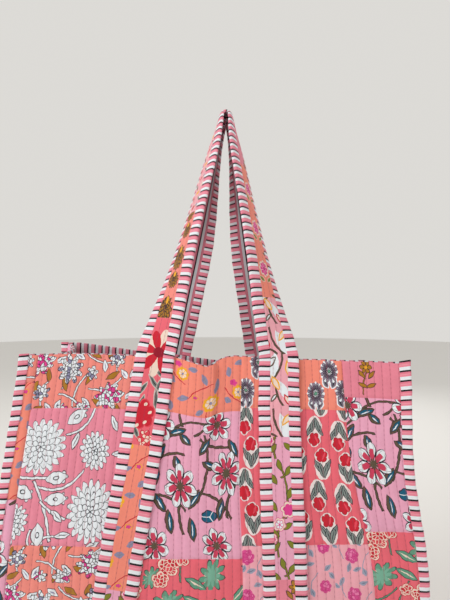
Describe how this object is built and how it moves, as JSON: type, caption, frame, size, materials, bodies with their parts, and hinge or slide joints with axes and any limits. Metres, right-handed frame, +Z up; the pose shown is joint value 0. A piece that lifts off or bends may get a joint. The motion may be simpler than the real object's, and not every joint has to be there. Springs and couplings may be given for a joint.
{
  "type": "quilted patchwork tote bag",
  "caption": "Quilted cotton patchwork tote bag with two long flat shoulder straps, striped bindings and deep gussets, shown hanging from a hook.",
  "frame": {"origin": "top of the hook's prong that the straps rest on, in the middle of the hook", "axes": "+X across the bag to the viewer's right, -Y towards the front, +Z up"},
  "size_m": [0.4528, 0.2051, 0.7023],
  "materials": {
    "patchwork": "block-printed cotton, hand-quilted in running stitch",
    "gusset_print": "block-printed cotton, quilted",
    "strap_patchwork": "block-printed cotton patches, quilted",
    "striped_cloth": "cotton with woven stripes in black, white and pink",
    "lining_cloth": "plain-weave cotton",
    "strap_lining_cloth": "cotton with lengthwise stripes",
    "wadding": "cotton wadding"
  },
  "bodies": {
    "bag": {"front_patches_1": "patchwork", "front_patches_2": "patchwork", "front_patches_3": "patchwork", "front_patches_4": "patchwork", "front_patches_5": "patchwork", "front_wadding": "wadding", "front_lining": "lining_cloth", "front_facing": "striped_cloth", "back_patches_1": "patchwork", "back_patches_2": "patchwork", "back_patches_3": "patchwork", "back_patches_4": "patchwork", "back_patches_5": "patchwork", "back_wadding": "wadding", "back_lining": "lining_cloth", "back_facing": "striped_cloth", "left_gusset_outer": "gusset_print", "left_gusset_wadding": "wadding", "left_gusset_lining": "lining_cloth", "left_gusset_facing": "striped_cloth", "right_gusset_outer": "gusset_print", "right_gusset_wadding": "wadding", "right_gusset_lining": "lining_cloth", "right_gusset_facing": "striped_cloth", "base_outer": "gusset_print", "base_wadding": "wadding", "base_lining": "lining_cloth", "front_left_binding": "striped_cloth", "front_right_binding": "striped_cloth", "front_base_binding": "striped_cloth", "back_left_binding": "striped_cloth", "back_right_binding": "striped_cloth", "back_base_binding": "striped_cloth", "front_left_leg_band": "strap_patchwork", "front_left_leg_bindings": "striped_cloth", "front_right_leg_band": "strap_patchwork", "front_right_leg_bindings": "striped_cloth", "back_left_leg_band": "strap_patchwork", "back_left_leg_bindings": "striped_cloth", "back_right_leg_band": "strap_patchwork", "back_right_leg_bindings": "striped_cloth"},
    "front_strap": {"front_strap_face": "strap_patchwork", "front_strap_wadding": "wadding", "front_strap_lining": "strap_lining_cloth", "front_strap_outer_binding": "striped_cloth", "front_strap_inner_binding": "striped_cloth"},
    "back_strap": {"back_strap_face": "strap_patchwork", "back_strap_wadding": "wadding", "back_strap_lining": "strap_lining_cloth", "back_strap_outer_binding": "striped_cloth", "back_strap_inner_binding": "striped_cloth"}
  },
  "joints": [
    {"name": "front_strap_fold", "type": "hinge", "parent": "bag", "child": "front_strap", "pos_m": [0, -0.1211, -0.316], "axis": [1, 0, 0], "range_deg": [0, 152]},
    {"name": "back_strap_fold", "type": "hinge", "parent": "bag", "child": "back_strap", "pos_m": [0, 0.0131, -0.316], "axis": [-1, 0, 0], "range_deg": [0, 170]}
  ]
}
